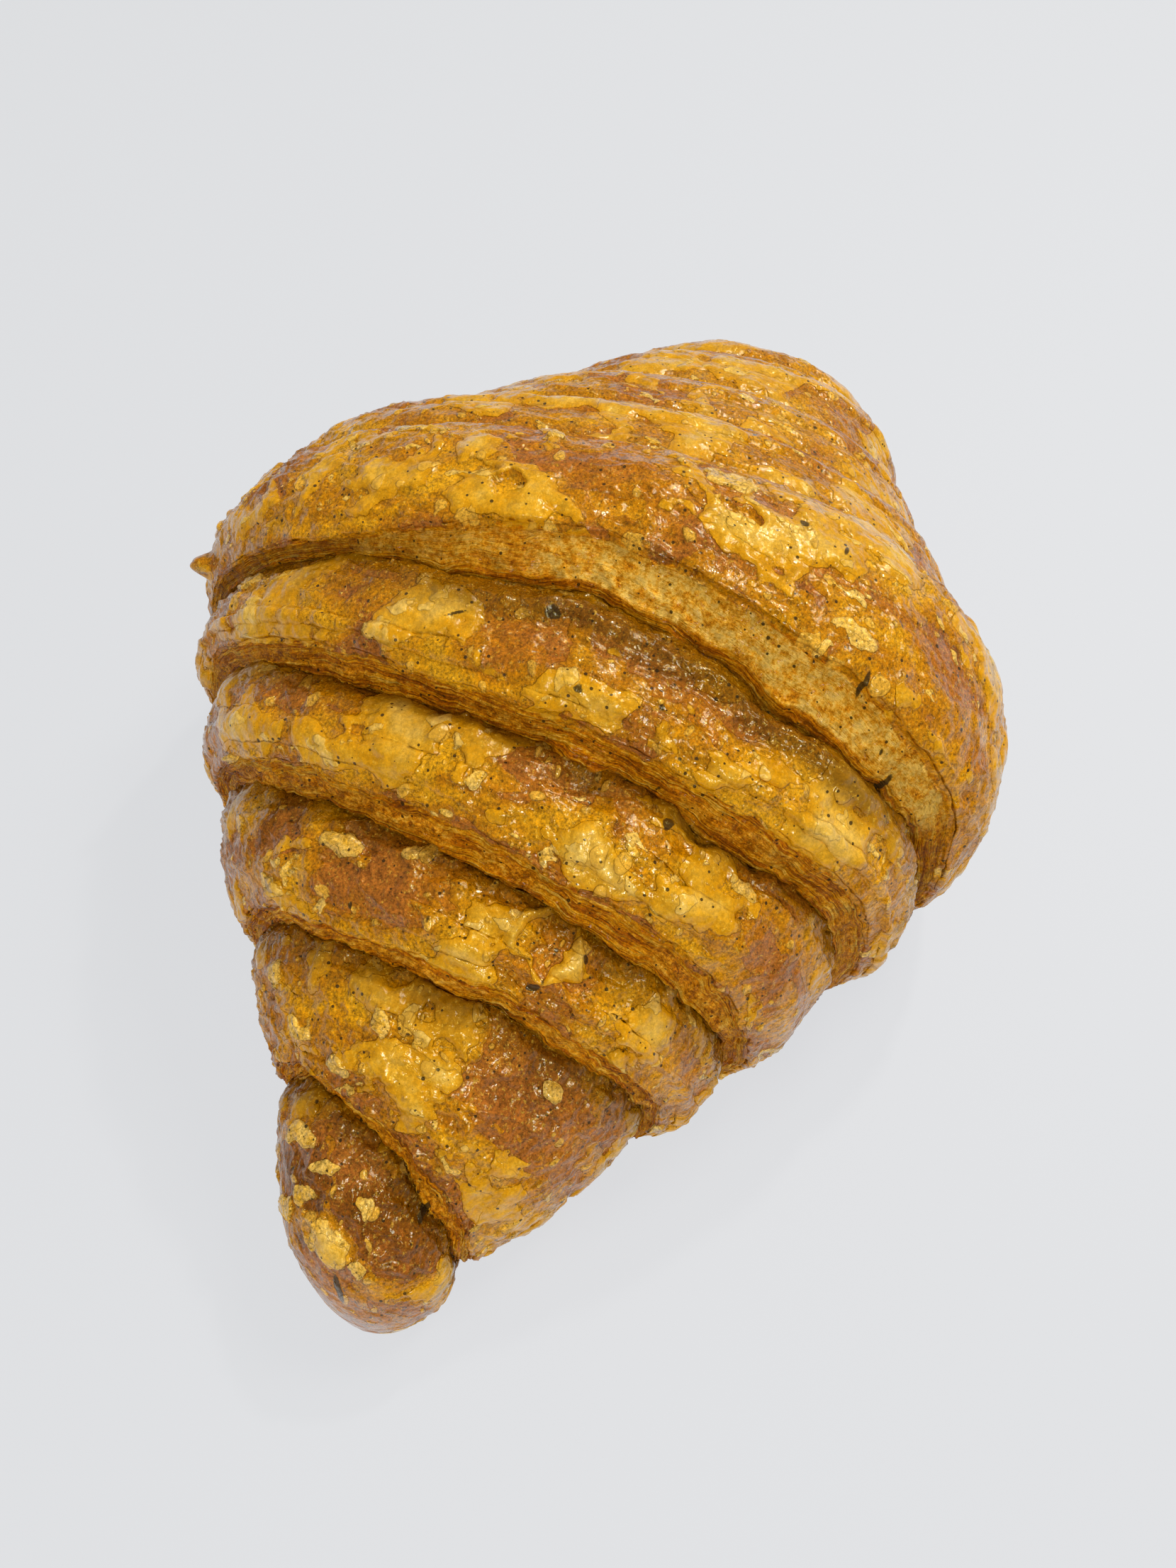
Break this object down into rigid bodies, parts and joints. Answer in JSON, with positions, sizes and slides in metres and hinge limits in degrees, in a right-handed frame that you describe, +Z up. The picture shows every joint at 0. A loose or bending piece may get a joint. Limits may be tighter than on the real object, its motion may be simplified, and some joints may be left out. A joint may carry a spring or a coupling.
{
  "type": "croissant",
  "caption": "Whole baked croissant, one tapering roll of laminated dough with stepped wrapped layers and a flattened base.",
  "frame": {"origin": "on the resting surface, under the middle of the croissant's bounding box", "axes": "+X along the roll from the narrow tip to the blunt tip, +Z up"},
  "size_m": [0.15, 0.101, 0.054],
  "materials": {
    "crust": null
  },
  "bodies": {
    "root": {"croissant": "crust"}
  },
  "joints": []
}
